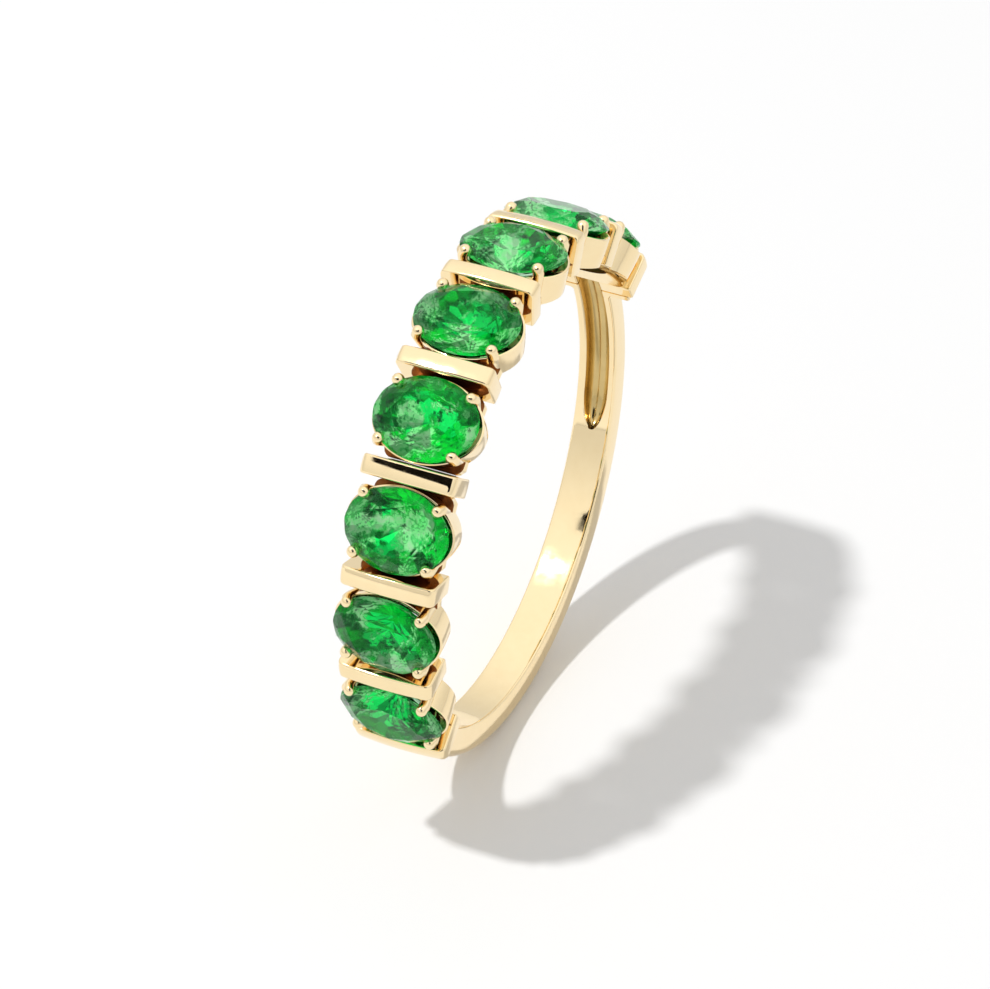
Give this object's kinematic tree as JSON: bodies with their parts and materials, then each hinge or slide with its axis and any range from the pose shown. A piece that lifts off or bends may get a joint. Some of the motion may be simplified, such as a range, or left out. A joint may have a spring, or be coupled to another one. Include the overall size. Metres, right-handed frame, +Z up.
{
  "type": "cocktail ring",
  "caption": "Yellow gold half-eternity ring: oval green stones set crosswise in claw collets, with slim upright divider bars between them, on a plain half-round shank.",
  "frame": {"origin": "centre of the finger hole, half-way across the ring's width", "axes": "+Y along the finger hole's axis; +Z up with the ring standing on its shank, its head rolled 28.5 degrees from the top towards +X"},
  "size_m": [0.0207, 0.0042, 0.0208],
  "materials": {
    "gold": "polished 14 carat yellow gold",
    "emerald": "faceted, clear to slightly cloudy emerald"
  },
  "bodies": {
    "root": {"shank": "gold", "divider_bar_1": "gold", "divider_bar_2": "gold", "divider_bar_3": "gold", "divider_bar_4": "gold", "divider_bar_5": "gold", "divider_bar_6": "gold", "divider_bar_7": "gold", "divider_bar_8": "gold", "divider_bar_9": "gold", "claw_collet_1": "gold", "claw_collet_2": "gold", "claw_collet_3": "gold", "claw_collet_4": "gold", "claw_collet_5": "gold", "claw_collet_6": "gold", "claw_collet_7": "gold", "claw_collet_8": "gold", "oval_emerald_1": "emerald", "oval_emerald_2": "emerald", "oval_emerald_3": "emerald", "oval_emerald_4": "emerald", "oval_emerald_5": "emerald", "oval_emerald_6": "emerald", "oval_emerald_7": "emerald", "oval_emerald_8": "emerald"}
  },
  "joints": []
}
